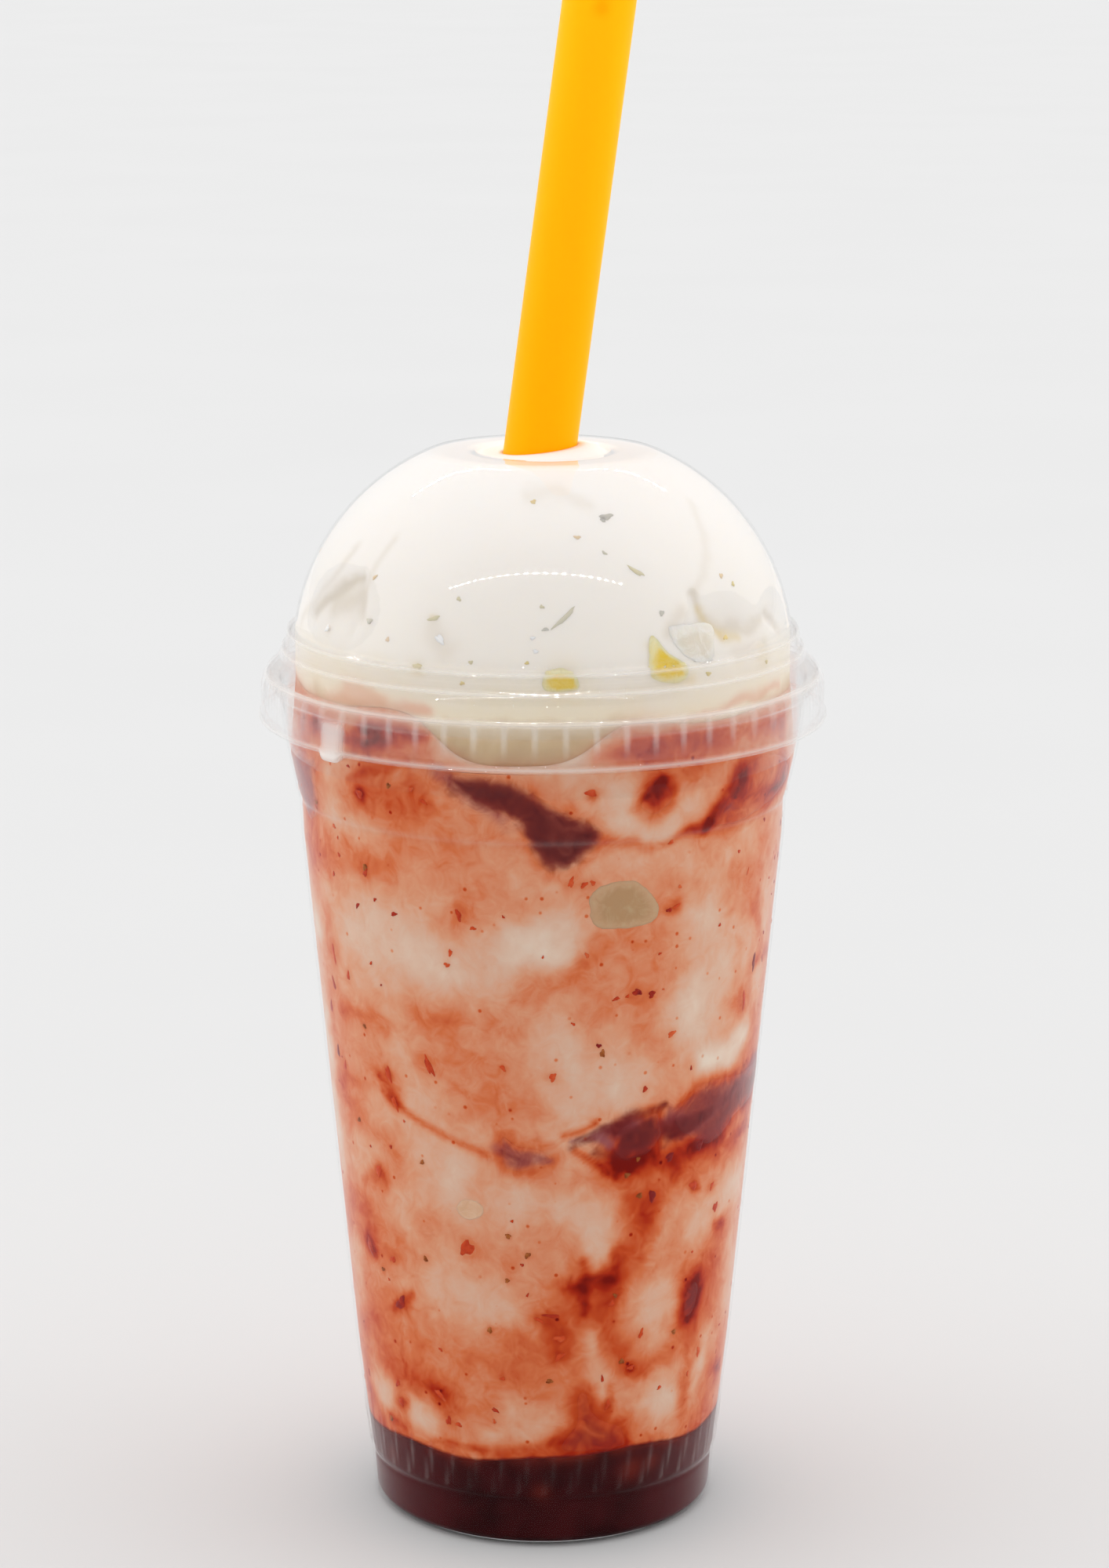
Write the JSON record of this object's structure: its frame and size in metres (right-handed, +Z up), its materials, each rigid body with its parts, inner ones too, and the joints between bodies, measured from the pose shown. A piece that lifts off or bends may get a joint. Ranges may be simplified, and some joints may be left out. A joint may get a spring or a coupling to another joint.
{
  "type": "cup of ice milk",
  "caption": "Clear tapered tumbler of marbled strawberry ice milk over dark syrup, with white ice milk standing up in a dome lid and a fat leaning straw.",
  "frame": {"origin": "centre of the cup's foot, on the surface that it stands on", "axes": "+Z up along the cup's axis, -Y towards the shown side, +X to its right; the straw leans towards +X"},
  "size_m": [0.101, 0.101, 0.2818],
  "materials": {
    "clear_plastic": "glossy pressed clear plastic, thin",
    "straw_plastic": "satin yellow extruded plastic, slightly translucent",
    "syrup": "wet dark fruit syrup",
    "marbled_milk": "soft frozen milk with strawberry sauce stirred in",
    "white_milk": "soft white frozen milk",
    "strawberry": "wet dark red fruit",
    "jelly": "translucent pale fruit jelly",
    "yellow_fruit": "wet yellow preserved fruit"
  },
  "bodies": {
    "root": {"cup": "clear_plastic", "dome_lid": "clear_plastic", "straw": "straw_plastic", "syrup_layer": "syrup", "marbled_ice_milk": "marbled_milk", "white_ice_milk": "white_milk", "strawberry_piece_1": "strawberry", "strawberry_piece_2": "strawberry", "strawberry_piece_3": "strawberry", "strawberry_piece_4": "strawberry", "strawberry_piece_5": "strawberry", "strawberry_piece_6": "strawberry", "strawberry_piece_7": "strawberry", "strawberry_piece_8": "strawberry", "strawberry_piece_9": "strawberry", "strawberry_piece_10": "strawberry", "strawberry_piece_11": "strawberry", "strawberry_piece_12": "strawberry", "jelly_piece_1": "jelly", "jelly_piece_2": "jelly", "jelly_cube": "jelly", "fruit_cube_1": "yellow_fruit", "fruit_cube_2": "yellow_fruit"}
  },
  "joints": []
}
